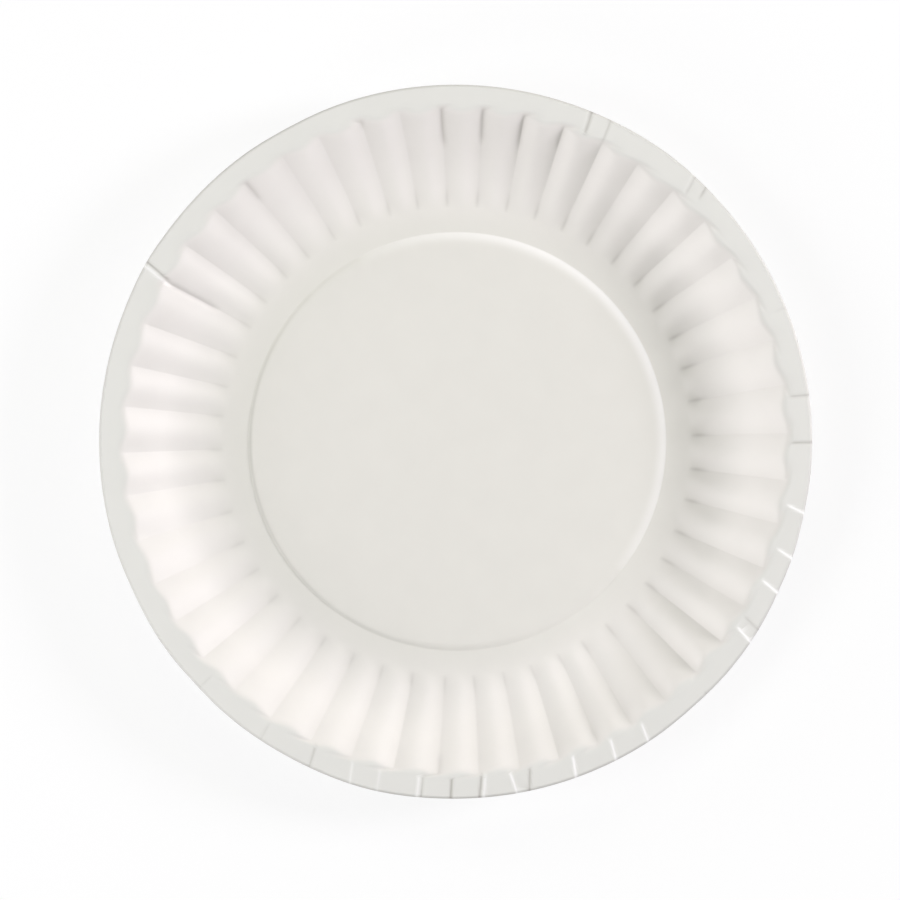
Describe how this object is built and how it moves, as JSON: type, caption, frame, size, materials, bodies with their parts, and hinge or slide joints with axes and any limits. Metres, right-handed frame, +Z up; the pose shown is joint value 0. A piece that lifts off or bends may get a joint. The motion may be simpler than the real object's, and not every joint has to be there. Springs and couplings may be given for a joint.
{
  "type": "paper plate",
  "caption": "Round disposable plate pressed from white paperboard, with a raised centre, a fluted wall and a narrow flat lip.",
  "frame": {"origin": "on the plate's axis, in the plane of the ring that it rests on", "axes": "+Z up along the plate's axis, out of the food side; the plate is the same all round, so +X and +Y are free"},
  "size_m": [0.23, 0.23, 0.017],
  "materials": {
    "board": "satin"
  },
  "bodies": {
    "root": {"plate": "board"}
  },
  "joints": []
}
